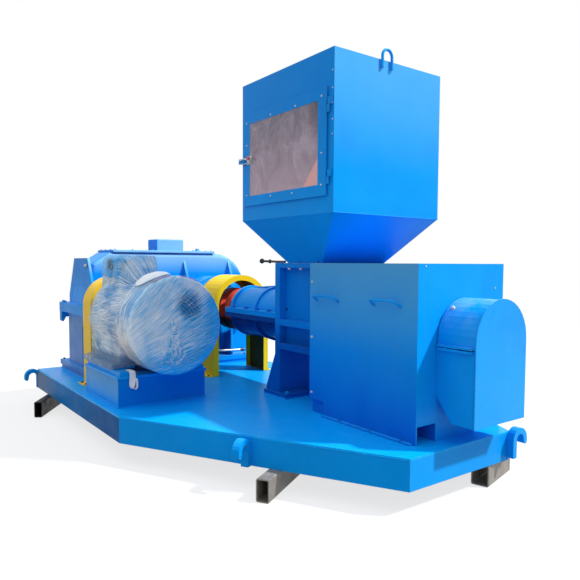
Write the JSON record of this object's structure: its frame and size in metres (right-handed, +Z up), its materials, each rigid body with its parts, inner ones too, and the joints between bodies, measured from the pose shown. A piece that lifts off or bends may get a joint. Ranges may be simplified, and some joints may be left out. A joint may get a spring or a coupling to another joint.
{
  "type": "carbon fibre grinder",
  "caption": "Carbon fibre grinding line on a welded skid: open feed hopper with a glazed door, box housing, split barrel, gear reducer, red coupling, yellow guards and a film-wrapped motor.",
  "frame": {"origin": "centre of the base's bounding box, on the ground", "axes": "+Z up, +Y towards the gear reducer at the rear, +X to the right seen from the shaft guard"},
  "size_m": [2.6222, 4.5658, 3.052],
  "materials": {
    "machine_blue": "semi-gloss sky blue machine paint",
    "deep_blue": "semi-gloss blue paint, a little dusty",
    "guard_yellow": "matt yellow guard paint",
    "coupling_red": "matt red paint",
    "tube_steel": "dull mill finish with rust",
    "packing_film": "clear wrinkled packing film",
    "door_glass": "scratched clear sheet",
    "lever_black": "black rod and ball grips"
  },
  "bodies": {
    "machine": {"barrel_lower": "deep_blue", "barrel_pedestal": "deep_blue", "barrel_upper": "deep_blue", "cross_member_1": "machine_blue", "cross_member_2": "machine_blue", "deck_plate": "machine_blue", "feed_chamber": "deep_blue", "gate_lever": "lever_black", "hopper_box": "machine_blue", "hopper_funnel": "machine_blue", "housing": "machine_blue", "housing_handle_1": "machine_blue", "housing_handle_2": "machine_blue", "input_guard": "guard_yellow", "lifting_hook_diagonal": "machine_blue", "lifting_hook_front": "machine_blue", "lifting_hook_rear_left": "machine_blue", "lifting_hook_rear_right": "machine_blue", "lifting_loop_back": "machine_blue", "lifting_loop_front": "machine_blue", "motor_body": "deep_blue", "motor_fan_cowl": "deep_blue", "motor_rails": "machine_blue", "motor_stand": "machine_blue", "motor_terminal_box": "deep_blue", "motor_wrap": "packing_film", "output_guard": "guard_yellow", "reducer_lower_case": "machine_blue", "reducer_top_cover": "machine_blue", "reducer_upper_case": "machine_blue", "shaft_guard_lower": "machine_blue", "skid_diagonal": "machine_blue", "skid_front": "machine_blue", "skid_left": "machine_blue", "skid_rear": "machine_blue", "skid_right": "machine_blue", "support_tube_front": "tube_steel", "support_tube_left": "tube_steel", "support_tube_middle": "tube_steel", "support_tube_rear": "tube_steel"},
    "door": {"door_glass": "door_glass", "hopper_door": "machine_blue"},
    "shaft_cover": {"shaft_guard_cover": "machine_blue"},
    "input_drive": {"input_coupling": "coupling_red"},
    "output_drive": {"output_coupling": "coupling_red"}
  },
  "joints": [
    {"name": "hopper_door_hinge", "type": "hinge", "parent": "machine", "child": "door", "pos_m": [0.00914, -1.26294, 2.336], "axis": [0, 0, 1], "range_deg": [0, 110]},
    {"name": "shaft_cover_hinge", "type": "hinge", "parent": "machine", "child": "shaft_cover", "pos_m": [0.86614, -2.13444, 0.965], "axis": [0, 1, 0], "range_deg": [0, 90]},
    {"name": "input_spin", "type": "hinge", "parent": "machine", "child": "input_drive", "pos_m": [-0.65286, 1.07006, 1.015], "axis": [0, 1, 0], "continuous": true},
    {"name": "output_spin", "type": "hinge", "parent": "machine", "child": "output_drive", "pos_m": [0.55014, 0.87006, 1.015], "axis": [0, 1, 0], "continuous": true}
  ],
  "couplings": [
    {"joint": "output_spin", "follows": "input_spin", "ratio": -0.031746}
  ]
}
